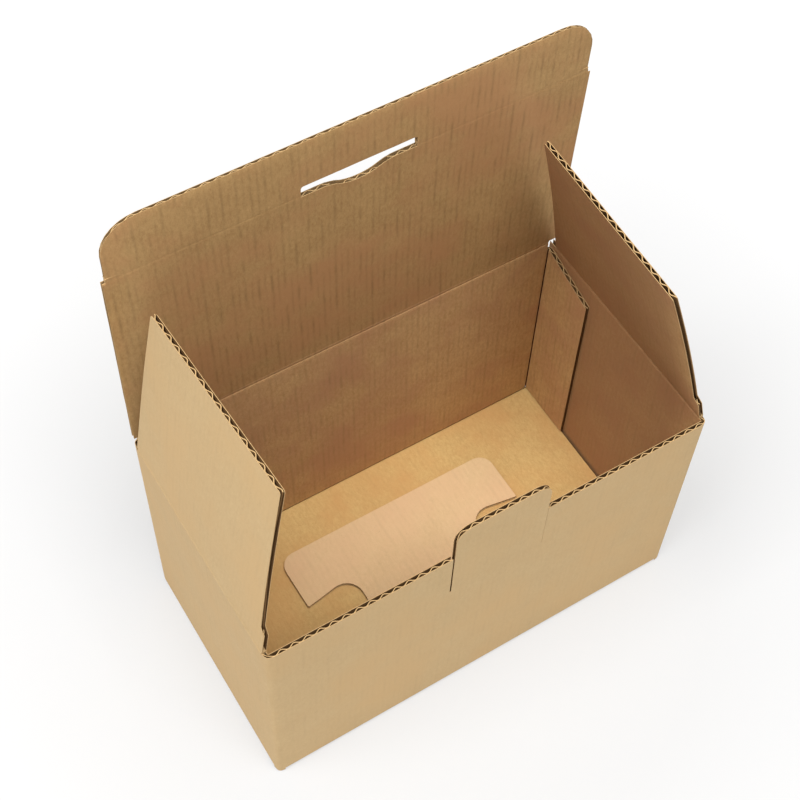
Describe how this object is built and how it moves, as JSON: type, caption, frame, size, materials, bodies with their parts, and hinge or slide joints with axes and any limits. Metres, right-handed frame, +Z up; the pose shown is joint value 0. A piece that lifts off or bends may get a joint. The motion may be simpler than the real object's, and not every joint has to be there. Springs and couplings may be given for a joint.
{
  "type": "corrugated box",
  "caption": "Kraft corrugated mailing carton with a snap-lock bottom, side dust flaps, a tuck lid, and a lock tab that meets a slot in the lid's crease.",
  "frame": {"origin": "middle of the base, at table height", "axes": "+X along the front wall to the right, +Y to the back wall and the lid, +Z up"},
  "size_m": [0.235, 0.127, 0.2908],
  "materials": {
    "kraft_board": "plain brown kraft liners, matt, slightly darker and redder inside"
  },
  "bodies": {
    "body": {"body": "kraft_board"},
    "left_flap": {"left_flap": "kraft_board"},
    "right_flap": {"right_flap": "kraft_board"},
    "lid": {"lid": "kraft_board"},
    "tuck_flap": {"tuck_flap": "kraft_board"}
  },
  "joints": [
    {"name": "left_flap_crease", "type": "hinge", "parent": "body", "child": "left_flap", "pos_m": [-0.11635, 0, 0.136], "axis": [0, 1, 0], "range_deg": [-97.6, 82.4]},
    {"name": "right_flap_crease", "type": "hinge", "parent": "body", "child": "right_flap", "pos_m": [0.11635, 0, 0.136], "axis": [0, -1, 0], "range_deg": [-106.7, 73.3]},
    {"name": "lid_crease", "type": "hinge", "parent": "body", "child": "lid", "pos_m": [0, 0.06235, 0.1383], "axis": [1, 0, 0], "range_deg": [-118, 5]},
    {"name": "tuck_crease", "type": "hinge", "parent": "lid", "child": "tuck_flap", "pos_m": [0, 0.05918, 0.25926], "axis": [1, 0, 0], "range_deg": [-90, 90]}
  ]
}
